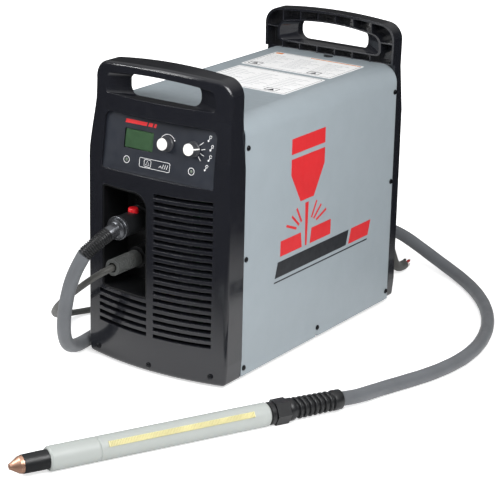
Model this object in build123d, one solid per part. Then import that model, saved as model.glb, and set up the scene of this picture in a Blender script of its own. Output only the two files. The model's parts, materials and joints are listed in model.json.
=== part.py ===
from build123d import *
from math import cos, sin, radians, sqrt
import os

# Plasma cutter unit, millimetres. X right seen from the front, Y towards the back, Z up.
# Sizes are counted from the floor under the middle of the cabinet, and the finished pieces
# are then moved so that their origin is on the floor under the middle of the whole set.

SET_MIDDLE = (52.8, -53.1)  # of the cabinet with its torch and leads, seen from above

# ---- cabinet ----
HALF_WIDTH = 137.0          # end panels
COVER_HALF_WIDTH = 136.0
COVER_TOP = 431.6
COVER_BOTTOM = 8.6
COVER_RADIUS = 30.0
COVER_SHEET = 1.5
FRONT_SEAM_Y = -213.0       # cover meets the front bezel
REAR_SEAM_Y = 246.0         # cover meets the rear panel
REAR_FACE_Y = 268.0
FACE_RADIUS = 479.0         # plan bulge of the bezel
FACE_CENTRE_Y = 202.0       # axis of that bulge
FRONT_TOP_Z = 500.0
REAR_TOP_Z = 508.0
TOP_ARCH = 9.0              # rise of a handle's arched top
WALL = 4.0
TONGUE = 14.0               # how far each end panel reaches inside the cover
GAP = 0.1                   # assembly gap between separate pieces
BEND_SHARE = 0.45           # of a cable run that each of its bends takes up

# ---- carry handles ----
# Each hole shape: half width, sill, shoulder, crown, and the corner radii above and below.
FRONT_HOLE = {              # by how deep in the handle it lies
    -268.0: (148.0, 445.5, 473.0, 486.0, 20.0, 7.0),
    -236.0: (68.0, 444.0, 478.0, 483.0, 16.0, 16.0),
    -200.0: (93.0, 433.5, 479.0, 485.0, 16.0, 16.0),
}
GRIP_OVAL = (106.0, 444.5, 479.0, 491.0, 20.0, 10.0)  # wall round the rear hand hole
GRIP_MOUTH = (103.5, 447.0, 477.0, 488.5, 17.5, 7.5)
GRIP_HOLE = (72.0, 449.0, 483.0, 488.0, 16.0, 15.0)
GRIP_WALL = 4.0
GRIP_RIB_PITCH = 36.0
GRIP_FLOOR_Z = 433.0

# ---- control fascia ----
FASCIA_TILT = 8.7           # degrees, leaning back
FASCIA_CENTRE = (4.5, -257.2, 371.5)
FASCIA_SIZE = (215.0, 92.0)
FASCIA_SHEET = 3.0
DISPLAY_AT = (-41.5, 7.6)   # on the fascia, from its centre
DISPLAY_SIZE = (56.0, 31.0)
AMPS_AT = (14.0, 11.0)
MODE_AT = (64.0, 11.0)
LAMPS_AT = ((-61.5, -26.5), (63.5, -24.0))
MODE_REST_ANGLE = 10.0      # pointer, degrees above the horizontal
KNOB_RADIUS = 10.6
SHAFT_RADIUS = 3.0
RUNNING = 0.06              # radial clearance of a turning fit

# ---- connector bay ----
BAY_X = (-102.0, -5.0)
BAY_Z = (126.0, 300.0)
BAY_FLOOR_Y = -203.0
TORCH_PORT = (-52.0, 240.0)  # x, z
WORK_PORT = (-55.0, 176.0)

# ---- louvres ----
SLOT_PITCH = 12.3
SLOT_HEIGHT = 6.8
RIGHT_BANK = (8.0, 112.0, 66.0, 20)    # x from, x to, lowest z, slots
LEFT_BANK = (-109.0, -5.0, 66.0, 5)

# ---- fan ----
FAN_AT = (-20.0, 252.0)     # x, z
FAN_RADIUS = 57.0
FAN_Y = (206.0, 240.0)

# ---- rear fittings, x and z ----
SWITCH_AT = (72.0, 372.0)
GLAND_AT = (78.0, 104.0)
INLET_AT = (-84.0, 112.0)
PORT_AT = (-72.0, 380.0)

# ---- torch ----
TORCH_TIP = (77.0, -703.5, 18.6)
TORCH_ANGLE = 63.47         # plan angle of the torch from +X
TORCH_RADIUS = 18.6
LEAD_RADIUS = 11.5
WORK_LEAD_RADIUS = 5.5
RACK_TILT = 36.0            # degrees above the horizontal
RACK_SPAN = (148.0, 388.0)  # from the torch's tip
RACK_BED = 16.1             # from the torch's axis
RACK_DEPTH = 4.0
RACK_WIDTH = 8.6
RACK_PITCH = 2.5


# ---- general shapes ----
def block(x, y, z, radius=0.0):
    """Box between pairs of x, y and z, with its upright edges rounded."""
    shape = Pos((x[0] + x[1]) / 2, (y[0] + y[1]) / 2, (z[0] + z[1]) / 2) * Box(
        x[1] - x[0], y[1] - y[0], z[1] - z[0]
    )
    return fillet(shape.edges().filter_by(Axis.Z), radius) if radius else shape


def rod_x(y, z, radius, x):
    """Cylinder along X."""
    return Pos((x[0] + x[1]) / 2, y, z) * Rot(0, 90, 0) * Cylinder(radius, x[1] - x[0])


def rod_y(x, z, radius, y):
    """Cylinder along Y."""
    return Pos(x, (y[0] + y[1]) / 2, z) * Rot(90, 0, 0) * Cylinder(radius, y[1] - y[0])


def rod_z(x, y, radius, z):
    """Cylinder along Z."""
    return Pos(x, y, (z[0] + z[1]) / 2) * Cylinder(radius, z[1] - z[0])


def along_y(outline, y):
    """Push an outline drawn in X and Z from the first y to the second."""
    return extrude(Plane.XZ.offset(-y[0]) * outline, amount=y[0] - y[1])


def arch(half_width, z, radius):
    """Outline in X and Z with two rounded top corners."""
    plain = Pos(0, (z[0] + z[1]) / 2) * Rectangle(2 * half_width, z[1] - z[0])
    return fillet(plain.vertices().group_by(Axis.Y)[-1], radius)


def turned(profile, axis=Axis.X):
    """Solid of revolution from points of length along the axis and radius."""
    return revolve(make_face(Polyline(*profile, close=True)), axis)


def rounded_path(points):
    """Straight runs between points, with an arc at each corner."""
    points = [Vector(*p) for p in points]
    edges = []
    at = points[0]
    for before, corner, after in zip(points, points[1:], points[2:]):
        reach = BEND_SHARE * min((corner - before).length, (after - corner).length)
        way = (corner - before).normalized()
        start = corner - way * reach
        end = corner + (after - corner).normalized() * reach
        edges += [Edge.make_line(at, start), Edge.make_tangent_arc(start, way, end)]
        at = end
    return Wire(edges + [Edge.make_line(at, points[-1])])


def tube(points, radius):
    """Round cable along straight runs and arcs."""
    path = rounded_path(points)
    return sweep(Plane(origin=path @ 0, z_dir=path % 0) * Circle(radius), path=path)


def group(shapes):
    """Several separate solids as one node."""
    return Compound(children=list(shapes))


def save(name, shape):
    """Write one piece, moved to the origin of the whole set."""
    moved = Pos(-SET_MIDDLE[0], -SET_MIDDLE[1], 0) * shape
    moved.label = name
    export_step(moved, f"parts/{name}.step")


# ---- end panels ----
def panel_outline(bottom, top):
    """Front view of an end panel: upright sides, leaning in towards an arched top."""
    side = HALF_WIDTH
    edges = Polyline(
        (-side + 3, bottom), (side - 3, bottom), (side, bottom + 34), (side, 352),
        (side - 6, 428), (side - 5, top - TOP_ARCH),
    ) + ThreePointArc((side - 5, top - TOP_ARCH), (0, top), (5 - side, top - TOP_ARCH))
    edges += Polyline((5 - side, top - TOP_ARCH), (6 - side, 428), (-side, 352), (-side, bottom + 34),
                      (-side + 3, bottom))
    face = make_face(edges)
    corners = face.vertices()
    face = fillet(corners.group_by(Axis.Y)[0], 7)
    return fillet(face.vertices().sort_by(Axis.Y)[-2:], 29)


def face_of_revolution(inset):
    """Body inside the bezel's bulged, back-leaning face, less an inset."""
    r = FACE_RADIUS - inset
    side = Spline((r, 330), (r - 3, 372), (r - 11.5, 428), (r - 14, 474), tangents=[(0, 1), (0, 1)])
    outline = Polyline((0, -20), (r, -20), (r, 330)) + side
    outline += Polyline((r - 14, 474), (r - 14, 540), (0, 540), (0, -20))
    body = revolve(Plane.XZ * make_face(outline), Axis.Z)
    return Pos(0, FACE_CENTRE_Y, 0) * body


def hand_hole(half, sill, shoulder, crown, corner, foot):
    """Front view of a hand hole: flat sill and arched top."""
    outline = Polyline((-half, shoulder), (-half, sill), (half, sill), (half, shoulder))
    outline += ThreePointArc((half, shoulder), (0, crown), (-half, shoulder))
    face = make_face(outline)
    face = fillet(face.vertices().group_by(Axis.Y)[0], foot)
    return fillet(face.vertices().sort_by(Axis.Y)[-2:], corner)


def handle_opening(shapes):
    """Hand hole that flares from shape to shape; shapes maps each depth y to a hole shape."""
    faces = [Plane.XZ.offset(-y) * hand_hole(*shape) for y, shape in shapes.items()]
    return Part() + [loft(list(pair)) for pair in zip(faces, faces[1:])]


def rib_pockets(z, y, count, half_width):
    """Row of pockets whose lands are the stiffening ribs of a handle."""
    pitch = 2 * half_width / count
    return [
        block((-half_width + i * pitch + 1.5, -half_width + (i + 1) * pitch - 1.5), y, z)
        for i in range(count)
    ]


def tongue(y):
    """Rim of an end panel that tucks inside the cover."""
    room = COVER_SHEET + GAP
    half = COVER_HALF_WIDTH - room
    outer = arch(half, (14, COVER_TOP - room), COVER_RADIUS - room)
    inner = arch(half - WALL, (13, COVER_TOP - room - WALL), COVER_RADIUS - room - WALL)
    return along_y(outer, y) - along_y(inner, y)


def cavity(y):
    """Hollow of an end panel, in line with the inside of its tongue."""
    room = COVER_SHEET + GAP + WALL
    return along_y(arch(COVER_HALF_WIDTH - room, (10, COVER_TOP - room), COVER_RADIUS - room), y)


def louvres(bank, y):
    """Sloping slots through a face, lower on the outside."""
    x_from, x_to, z_low, count = bank
    drop = 6.0 if y[0] < 0 else -6.0
    slot = make_face(Polyline(
        (y[0], -drop / 2), (y[1], drop / 2), (y[1], drop / 2 + SLOT_HEIGHT),
        (y[0], -drop / 2 + SLOT_HEIGHT), close=True,
    ))
    slot = extrude(Plane.YZ.offset(x_from) * slot, amount=x_to - x_from)
    return [Pos(0, 0, z_low + i * SLOT_PITCH) * slot for i in range(count)]


def bay_outline(inset):
    """Front view of the connector bay, with one large corner."""
    width = BAY_X[1] - BAY_X[0] - 2 * inset
    height = BAY_Z[1] - BAY_Z[0] - 2 * inset
    face = Pos(sum(BAY_X) / 2, sum(BAY_Z) / 2) * Rectangle(width, height)
    corners = face.vertices().sort_by(lambda v: v.X + v.Y)
    face = fillet(corners[-1], 26 - inset)
    return fillet(face.vertices().group_by(Axis.X)[0], 8 - inset)


def fascia_at(x, y, z=0.0):
    """Place on the fascia: x and y from its centre, z out of it."""
    plane = Plane(
        origin=FASCIA_CENTRE, x_dir=(1, 0, 0),
        z_dir=(0, -cos(radians(FASCIA_TILT)), sin(radians(FASCIA_TILT))),
    )
    return plane.location * Pos(x, y, z)


def fascia_outline(extra=0.0):
    """Fascia shape with larger top corners."""
    face = Rectangle(FASCIA_SIZE[0] + 2 * extra, FASCIA_SIZE[1] + 2 * extra)
    face = fillet(face.vertices().group_by(Axis.Y)[-1], 13 + extra)
    return fillet(face.vertices().group_by(Axis.Y)[0], 4 + extra)


def front_panel():
    outer = along_y(panel_outline(4, FRONT_TOP_Z), (-290, FRONT_SEAM_Y)) & face_of_revolution(0)
    outer = fillet(outer.edges().filter_by(lambda e: e.center().Y < FRONT_SEAM_Y - 27), 7)
    body = outer - (cavity((-290, -200)) & face_of_revolution(WALL))
    backing = fascia_at(0, 0, -7) * extrude(fascia_outline(4), amount=60)
    body += backing & outer
    slats = block((3, 117), (-290, -240), (60, 314)) + block((-114, 0), (-290, -240), (60, 122))
    body += (slats & outer) - face_of_revolution(11)
    body -= handle_opening(FRONT_HOLE)
    for pocket in rib_pockets((487.5, 494), (-228, -200), 8, 76):
        body -= pocket
    body -= fascia_at(0, 0, -FASCIA_SHEET) * extrude(fascia_outline(GAP), amount=70)
    body -= fascia_at(0, 0, -12) * extrude(Rectangle(190, 74), amount=20)
    body -= along_y(bay_outline(0), (-290, -240))
    for slot in louvres(RIGHT_BANK, (-285, -245)) + louvres(LEFT_BANK, (-285, -245)):
        body -= slot
    body += tongue((FRONT_SEAM_Y, FRONT_SEAM_Y + TONGUE))
    for hole in side_screw_holes() + front_screw_holes():
        body -= hole
    return body


def upper_outline(floor):
    """Front view of the rear panel above a height."""
    above = Pos(0, REAR_TOP_Z) * Rectangle(300, 2 * (REAR_TOP_Z - floor))
    return panel_outline(8, REAR_TOP_Z) & above


def rear_grip():
    """Hollow carry handle: an outer wall, an oval wall round the hand hole, and ribs between."""
    y = (REAR_SEAM_Y - 8, REAR_FACE_Y)
    outline = upper_outline(GRIP_FLOOR_Z)
    inside = offset(upper_outline(GRIP_FLOOR_Z - GRIP_WALL), -GRIP_WALL)
    hollow = along_y(inside, (y[0] - 1, REAR_FACE_Y - GRIP_WALL))
    ribs = [
        block((x - 1, x + 1), y, (GRIP_FLOOR_Z, REAR_TOP_Z))
        for x in (GRIP_RIB_PITCH * (i - 2.5) - 5 for i in range(6))
    ]
    ribs.append(block((-HALF_WIDTH, HALF_WIDTH), y, (468, 470)))
    oval = along_y(hand_hole(*GRIP_OVAL), y)
    body = along_y(outline, y) - hollow
    for rib in ribs:
        body += rib & hollow
    body += oval
    return body - handle_opening({y[0] - 1: GRIP_MOUTH, y[0] + 14: GRIP_HOLE, y[1] + 1: GRIP_HOLE})


def rear_panel():
    outline = panel_outline(8, REAR_TOP_Z) & (Pos(0, GRIP_FLOOR_Z - 250) * Rectangle(300, 500))
    body = along_y(outline, (REAR_SEAM_Y, REAR_FACE_Y)) + rear_grip()
    body = fillet(body.faces().sort_by(Axis.Y)[-1].outer_wire().edges(), 3)
    body -= cavity((REAR_SEAM_Y - 20, REAR_FACE_Y - WALL))
    fan_slots = (FAN_AT[0] - 54, FAN_AT[0] + 54, FAN_AT[1] - 52, 9)
    for slot in louvres(fan_slots, (REAR_FACE_Y - 10, REAR_FACE_Y + 2)):
        body -= slot
    body += tongue((REAR_SEAM_Y - TONGUE, REAR_SEAM_Y))
    through = (REAR_SEAM_Y, REAR_FACE_Y + 2)
    body -= rod_y(*SWITCH_AT, 11, through)
    body -= rod_y(*GLAND_AT, 13, through)
    body -= rod_y(*INLET_AT, 9, through)
    for hole in side_screw_holes():
        body -= hole
    return body


# ---- sheet metal and fasteners ----
SIDE_SCREWS = [
    (-206.0, 385.0), (-206.0, 204.0), (-206.0, 22.0), (240.0, 387.0), (240.0, 227.0),
    (240.0, 24.0), (13.0, 24.0),
]                           # y and z, the same on both sides
FRONT_SCREWS = [(-112.0, 19.0), (0.0, 16.0), (112.0, 19.0)]  # x and z
SCREW_RADIUS = 2.0
SCREW_HOLE = 2.2


def side_screw_holes():
    reach = ((-140, -120), (120, 140))
    return [rod_x(y, z, SCREW_HOLE, x) for y, z in SIDE_SCREWS for x in reach]


def front_screw_holes():
    return [rod_y(x, z, SCREW_HOLE, (-290, -250)) for x, z in FRONT_SCREWS]


def screw(length):
    """Dome-head screw along -Z, with a cross slot, its head's underside at the origin."""
    head = turned([(0, 0), (0, 4.4), (1.2, 4.4), (2.4, 3.2), (2.9, 1.6), (3.0, 0)])
    shape = Rot(0, -90, 0) * head + Pos(0, 0, -length / 2) * Cylinder(SCREW_RADIUS, length)
    cross = Pos(0, 0, 2.6) * (Box(4.4, 0.9, 1.4) + Box(0.9, 4.4, 1.4))
    return shape - cross


def panel_screws():
    shapes = []
    for y, z in SIDE_SCREWS:
        shapes.append(Pos(COVER_HALF_WIDTH, y, z) * Rot(0, 90, 0) * screw(7))
        shapes.append(Pos(-COVER_HALF_WIDTH, y, z) * Rot(0, -90, 0) * screw(7))
    for x, z in FRONT_SCREWS:
        face_y = FACE_CENTRE_Y - sqrt(FACE_RADIUS**2 - (abs(x) - 4) ** 2)
        shapes.append(Pos(x, face_y - 0.2, z) * Rot(90, 0, 0) * screw(7))
    return group(shapes)


def cover():
    outer = arch(COVER_HALF_WIDTH, (COVER_BOTTOM, COVER_TOP), COVER_RADIUS)
    inner = arch(
        COVER_HALF_WIDTH - COVER_SHEET, (0, COVER_TOP - COVER_SHEET), COVER_RADIUS - COVER_SHEET
    )
    sheet = along_y(outer - inner, (FRONT_SEAM_Y + GAP, REAR_SEAM_Y - GAP))
    sheet -= block((-140, 140), (8, 14), (0, 12))
    for hole in side_screw_holes():
        sheet -= hole
    return sheet


def base_pan():
    half = COVER_HALF_WIDTH - COVER_SHEET - GAP
    pan = block((-half, half), (FRONT_SEAM_Y + 2, REAR_SEAM_Y - 2), (10, 12))
    flange_y = (FRONT_SEAM_Y + TONGUE + 1, REAR_SEAM_Y - TONGUE - 1)
    for side in (-1, 1):
        x = sorted((side * half, side * (half - 2)))
        pan += block(x, flange_y, (10, 42))
    for hole in side_screw_holes():
        pan -= hole
    return pan


def feet():
    foot = turned([(0, 0), (0, 11), (3, 13), (10, 13), (10, 0)], Axis.X)
    foot = Rot(0, -90, 0) * foot
    return group([Pos(x, y, 0) * foot for x in (-106, 106) for y in (-190, 222)])


def top_labels():
    z = (COVER_TOP, COVER_TOP + 0.3)
    return group([block((-85, 95), (93, 205), z, 4), block((-78, 95), (-46, 80), z, 4)])


# ---- controls ----
def control_panel():
    plate = fascia_at(0, 0, -FASCIA_SHEET) * extrude(fascia_outline(), amount=FASCIA_SHEET)
    cut = 2 * FASCIA_SHEET
    plate -= fascia_at(*DISPLAY_AT, -cut) * extrude(RectangleRounded(*DISPLAY_SIZE, 2), amount=2 * cut)
    for spot in (AMPS_AT, MODE_AT):
        plate -= fascia_at(*spot) * Cylinder(SHAFT_RADIUS + 1.5, 2 * cut)
    for spot in LAMPS_AT:
        plate -= fascia_at(*spot) * Cylinder(2.6, 2 * cut)
    return plate


def display_window():
    size = (DISPLAY_SIZE[0] - 2 * GAP, DISPLAY_SIZE[1] - 2 * GAP)
    return fascia_at(*DISPLAY_AT, -1.5) * extrude(RectangleRounded(*size, 1.9), amount=1.5)


def display_module():
    board = fascia_at(*DISPLAY_AT, -6) * extrude(RectangleRounded(66, 42, 2), amount=2.9)
    glass = fascia_at(*DISPLAY_AT, -3.1) * extrude(Rectangle(54, 29), amount=1.4)
    return board + glass


def indicator_lenses():
    lens = turned([(0, 0), (0, 2.5), (3.1, 2.5), (3.6, 1.6), (3.8, 0)], Axis.X)
    lens = Rot(0, -90, 0) * lens
    return group([fascia_at(*spot, -3.4) * lens for spot in LAMPS_AT])


def control_board():
    board = fascia_at(0, 0, -22) * extrude(RectangleRounded(176, 66, 3), amount=1.6)
    for x in (-60, -34, -8, 38):
        board += fascia_at(x, -18, -25.4) * extrude(Rectangle(14, 9), amount=3.4)
    return board


def panel_control(spot, body_size):
    """Encoder or switch: a body behind the fascia, a bush and a shaft through it."""
    body = fascia_at(*spot, -20.3) * extrude(RectangleRounded(*body_size, 2), amount=12)
    body += fascia_at(*spot, -6.4) * Cylinder(SHAFT_RADIUS + 1.2, 4)
    return body + fascia_at(*spot, 2.5) * Cylinder(SHAFT_RADIUS, 22)


def knob(spot):
    """Dark knob with a skirt, a recess for its cap and a bore for the shaft."""
    profile = [
        (0.6, 0), (0.6, 12.4), (3.2, 12.4), (4.4, 11.2), (13.6, KNOB_RADIUS - 0.4), (14.4, 9.8),
        (14.4, 0),
    ]
    body = Rot(0, -90, 0) * turned(profile)
    body -= Pos(0, 0, 6.4) * Cylinder(SHAFT_RADIUS + RUNNING, 14.6)
    for i in range(24):
        body -= Rot(0, 0, i * 15) * Pos(KNOB_RADIUS + 0.5, 0, 9.5) * Cylinder(0.45, 9)
    return fascia_at(*spot) * body


def knob_cap(spot):
    """Light disc on the end of a knob."""
    disc = Rot(0, -90, 0) * turned([(14.4, 0), (14.4, 9.4), (15.2, 9.4), (16, 8.6), (16.3, 0)])
    return fascia_at(*spot) * disc


def pointer():
    """Light pointer that runs from the mode knob's cap down to its skirt."""
    side = Polyline((8, 13), (8, 16), (9.4, 15.9), (13.4, 6), (13.4, 3.4), (12.6, 3.4), (11.6, 4.6),
                    (10.0, 13), close=True)
    bar = extrude(Plane.XZ * make_face(side), amount=1.0, both=True)
    return Rot(0, 0, MODE_REST_ANGLE) * bar


def mode_knob():
    return knob(MODE_AT) - fascia_at(*MODE_AT) * pointer()


def mode_knob_cap():
    return knob_cap(MODE_AT) + fascia_at(*MODE_AT) * pointer()


# ---- connector bay and its sockets ----
def connector_bay():
    y = (-290, BAY_FLOOR_Y + 3)
    shell = along_y(bay_outline(GAP), y) & face_of_revolution(1.2)
    shell -= along_y(bay_outline(3), (-290, BAY_FLOOR_Y))
    shell -= rod_y(*TORCH_PORT, 22, (-210, -190))
    return shell - rod_y(*WORK_PORT, 16, (-210, -190))


def torch_receptacle():
    x, z = TORCH_PORT
    body = rod_y(x, z, 24, (-236, -208)) + block((x - 29, x + 29), (-208, BAY_FLOOR_Y), (z - 29, z + 29))
    body += rod_y(x, z, 21.8, (BAY_FLOOR_Y, -190))
    body -= rod_y(x, z, 15.2, (-240, -200))
    for dx in (-23, 23):
        for dz in (-23, 23):
            body -= rod_y(x + dx, z + dz, 2.2, (-209, -205))
    return body


def work_socket():
    x, z = WORK_PORT
    body = rod_y(x, z, 17.5, (-236, -206)) + rod_y(x, z, 22, (-207, BAY_FLOOR_Y))
    body += rod_y(x, z, 15.8, (BAY_FLOOR_Y, -188))
    return body - rod_y(x, z, 10.0 + RUNNING, (-240, -200))


# ---- parts inside the cabinet ----
def center_panel():
    sheet = block((-2, 0), (-185, 200), (12.1, 395))
    foot = block((-20, -2), (-185, 200), (12.1, 14))
    return sheet + foot - rod_x(60, 330, 24, (-5, 5)) - rod_x(-120, 330, 18, (-5, 5))


def heatsink():
    plate = block((8, 14), (-150, 150), (60, 250))
    for i in range(15):
        z = 66 + i * 12.5
        plate += block((14, 70), (-150, 150), (z, z + 2.2))
    return plate


def power_board():
    board = block((0.1, 2.0), (-160, 170), (45, 300))
    for y, z in ((-110, 270), (-40, 270), (30, 270)):
        board += block((2.0, 14), (y - 16, y + 16), (z - 12, z + 12))
    return board


def capacitors():
    return group([
        rod_x(y, 320, 17, (2.1, 62)) for y in (-120, -75, -30, 15)
    ] + [block((0.1, 2.0), (-145, 40), (301, 345))])


def transformer_core():
    body = block((-112, -30), (-40, 60), (14.2, 110), 2)
    for z in ((30, 54), (70, 94)):
        body -= block((-120, -20), (-22, 42), z)
    return body


def transformer_winding():
    loop = block((-124, -18), (-21.8, 41.8), (30.2, 93.8), 10)
    return loop - block((-112.2, -29.8), (-30, 50), (53.9, 70.1)) - block(
        (-112.2, -29.8), (-30, -22), (20, 100))


def output_inductor():
    core = Pos(-70, 130, 60) * Rot(0, 90, 0) * Torus(32, 13)
    return core + block((-84, -56), (100, 160), (12.1, 22))


def fan_frame():
    x, z = FAN_AT
    frame = block((x - 62, x + 62), FAN_Y, (z - 62, z + 62))
    frame = fillet(frame.edges().filter_by(Axis.Y), 6)
    frame -= rod_y(x, z, FAN_RADIUS + 1.5, (FAN_Y[0] - 1, FAN_Y[1] + 1))
    for angle in range(45, 360, 90):
        strut = Pos(FAN_RADIUS / 2 + 8, 0, 0) * Box(FAN_RADIUS - 4, 5, 3)
        frame += Pos(x, FAN_Y[0] + 1.5, z) * Rot(90, 0, 0) * Rot(0, 0, angle) * strut
    frame += rod_y(x, z, 20, (FAN_Y[0], FAN_Y[0] + 5))
    return frame + rod_y(x, z, 2.5, (FAN_Y[0] + 5, FAN_Y[1] - 6))


def fan_rotor():
    x, z = FAN_AT
    rotor = rod_y(x, z, 19, (FAN_Y[0] + 6, FAN_Y[1] - 3))
    blade = Pos(37, 0, 0) * Rot(32, 0, 0) * Box(40, 26, 1.8)
    middle = (FAN_Y[0] + FAN_Y[1]) / 2 + 1
    for i in range(7):
        rotor += Pos(x, middle, z) * Rot(90, 0, 0) * Rot(0, 0, i * 360 / 7) * blade
    return rotor - rod_y(x, z, 2.5 + RUNNING, (FAN_Y[0], FAN_Y[1] - 5.5))


def gas_valve():
    body = block((-110, -70), (-150, -115), (60, 90), 2)
    body += rod_z(-90, -132, 14, (90, 128))
    return body + rod_x(-132, 75, 6, (-70, -58))


def filter_regulator():
    x = INLET_AT[0]
    body = block((x - 20, x + 20), (180, 222), (98, 128), 3)
    body += rod_z(x, 201, 17, (60, 98)) + rod_z(x, 201, 14, (128, 150))
    return fillet(body.faces().sort_by(Axis.Z)[0].edges(), 8)


def gas_hose():
    x = INLET_AT[0]
    points = [
        (x, 179.4, 112), (x, 160, 112), (-70, 100, 138), (-60, 0, 145), (-72, -70, 110),
        (-90, -98, 76), (-90, -114.5, 75),
    ]
    return tube(points, 4)


# ---- rear fittings ----
def power_switch_body():
    x, z = SWITCH_AT
    body = block((x - 24, x + 24), (205, 244), (z - 24, z + 24))
    body += rod_y(x, z, 10.8, (244, REAR_FACE_Y))
    body += rod_y(x, z, 27, (REAR_FACE_Y, REAR_FACE_Y + 3))
    return body + rod_y(x, z, 4, (REAR_FACE_Y, REAR_FACE_Y + 16))


def power_switch_knob():
    x, z = SWITCH_AT
    back = REAR_FACE_Y + 3.4
    body = rod_y(x, z, 21, (back, back + 7))
    grip = block((x - 6, x + 6), (back + 7, back + 24), (z - 20, z + 20))
    grip = fillet(grip.edges().filter_by(Axis.Y), 4)
    body += grip
    return body - rod_y(x, z, 4 + RUNNING, (back - 1, REAR_FACE_Y + 16.4))


def cord_gland():
    x, z = GLAND_AT
    body = rod_y(x, z, 12.9, (250, REAR_FACE_Y)) + rod_y(x, z, 19, (REAR_FACE_Y, REAR_FACE_Y + 8))
    nut = extrude(Plane.XZ.offset(-REAR_FACE_Y - 8) * Pos(x, z) * RegularPolygon(17, 6), amount=-20)
    body += nut + rod_y(x, z, 13, (REAR_FACE_Y + 28, REAR_FACE_Y + 34))
    return body - rod_y(x, z, 9 + GAP, (248, REAR_FACE_Y + 40))


def power_cord():
    x, z = GLAND_AT
    start = REAR_FACE_Y - 16
    points = [
        (x, start, z), (x, start + 30, z), (x, start + 56, z - 1), (x + 1, start + 88, z - 20),
        (x, start + 108, 48), (x - 3, start + 128, 16), (x - 6, start + 152, 9.3),
        (x - 9, start + 172, 9.2),
    ]
    return tube(points, 9)


def air_inlet():
    x, z = INLET_AT
    body = rod_y(x, z, 8.8, (222.1, REAR_FACE_Y))
    hexagon = extrude(Plane.XZ.offset(-REAR_FACE_Y) * Pos(x, z) * RegularPolygon(14, 6), amount=-10)
    body += hexagon + rod_y(x, z, 6, (REAR_FACE_Y + 10, REAR_FACE_Y + 40))
    groove = rod_y(x, z, 7, (REAR_FACE_Y + 28, REAR_FACE_Y + 32)) - rod_y(
        x, z, 4.8, (REAR_FACE_Y + 27, REAR_FACE_Y + 33))
    return body - groove - rod_y(x, z, 3, (230, REAR_FACE_Y + 41))


def port_cover():
    x, z = PORT_AT
    plate = block((x - 32, x + 32), (REAR_FACE_Y, REAR_FACE_Y + 2.5), (z - 17, z + 17))
    plate = fillet(plate.edges().filter_by(Axis.Y), 4)
    for dx in (-25, 25):
        plate += rod_y(x + dx, z, 3.5, (REAR_FACE_Y + 2.5, REAR_FACE_Y + 4.5))
    return plate


# ---- torch plug and lead ----
BUTTON_RADIUS = 8.5
BOOT_RADIUS = 12.2
BOOT_PATH = [(-52, -293, 240), (-52, -309, 240), (-62, -329, 224), (-76, -343, 206)]
LEAD_DOWN = [(-92, -347, 178), (-107, -345, 144), (-119, -341, 106), (-129, -334, 66)]
LEAD_LEFT = [
    (-139, -316, 29), (-146, -286, 14.4), (-153, -250, 12.2), (-160, -200, 11.8), (-171, -80, 11.6),
    (-180, 60, 11.6), (-188, 200, 11.6), (-192, 300, 12),
]
LEAD_BACK = [(-176, 368, 18), (-118, 430, 40), (-40, 456, 60), (31, 455, 62), (80, 450, 44)]
LEAD_RIGHT = [
    (130, 447, 22), (178, 428, 12.4), (236, 382, 11.6), (293, 320, 11.6), (345, 238, 11.6),
    (378, 145, 11.6), (388, 60, 11.6), (377, -22, 11.6), (357, -84, 11.6), (341, -135, 12.2),
]


def torch_at(s, up=0.0):
    """Point on the torch's axis, s from its tip, or above it."""
    x, y, z = TORCH_TIP
    return (x + s * cos(radians(TORCH_ANGLE)), y + s * sin(radians(TORCH_ANGLE)), z + up)


def torch_plug():
    x, z = TORCH_PORT
    body = rod_y(x, z, 15.15, (-238, -205)) + rod_y(x, z, 18, (-286, -238))
    body = fillet(body.edges().filter_by(GeomType.CIRCLE).sort_by(Axis.Y)[-1], 1.5)
    return body - button_stem(0.15)


def button_stem(clearance):
    """Room for the release button in the plug."""
    x, z = TORCH_PORT
    return rod_z(x, -250, BUTTON_RADIUS + clearance, (z + 12 - clearance, z + 30))


def torch_release_button():
    x, z = TORCH_PORT
    stem = rod_z(x, -250, BUTTON_RADIUS, (z + 15.2, z + 24))
    return fillet(stem.faces().sort_by(Axis.Z)[-1].edges(), 2.5)


def torch_plug_ring():
    x, z = TORCH_PORT
    ring = rod_y(x, z, 19.5, (-293, -286))
    ring = fillet(ring.edges().filter_by(GeomType.CIRCLE), 1.5)
    return ring


def torch_plug_boot():
    """Boot that carries the lead out of the plug."""
    return tube(BOOT_PATH, BOOT_RADIUS)


def torch_lead():
    """Lead from the plug's boot, round the cabinet's left side and back, to the torch."""
    torch_end = [torch_at(574, up=-2.4), torch_at(548)]
    points = [BOOT_PATH[-1]] + LEAD_DOWN + LEAD_LEFT + LEAD_BACK + LEAD_RIGHT + torch_end
    return tube(points, LEAD_RADIUS)


# ---- torch ----
def on_torch(shape):
    """Move a shape turned about +X to the torch, its origin at the tip."""
    plane = Plane(
        origin=TORCH_TIP,
        x_dir=(cos(radians(TORCH_ANGLE)), sin(radians(TORCH_ANGLE)), 0), z_dir=(0, 0, 1),
    )
    return plane.location * shape


def shield():
    return on_torch(turned([
        (0, 1.4), (0, 4.6), (3, 5.8), (14, 12.5), (18, 13.4), (24.5, 13.4), (24.5, 11.9), (14, 11),
        (4, 3.6),
    ]))


def nozzle():
    return on_torch(turned([
        (4.6, 0.7), (4.6, 2.6), (13, 7.6), (26, 9.4), (30, 9.4), (30, 7.8), (14, 5.9), (8, 0.7),
    ]))


def electrode():
    return on_torch(turned([(13, 0), (13, 3.6), (16, 4.6), (34, 4.6), (34, 6.6), (40, 6.6), (40, 0)]))


def retaining_cap():
    return on_torch(turned([
        (19.5, 13.5), (19.5, 14), (46, 14.4), (58, 14.4), (58, 12.1), (42, 12.1), (42, 9.6), (30.1, 9.6),
        (30.1, 11.8), (24.6, 11.8), (24.6, 13.5),
    ]))


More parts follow.
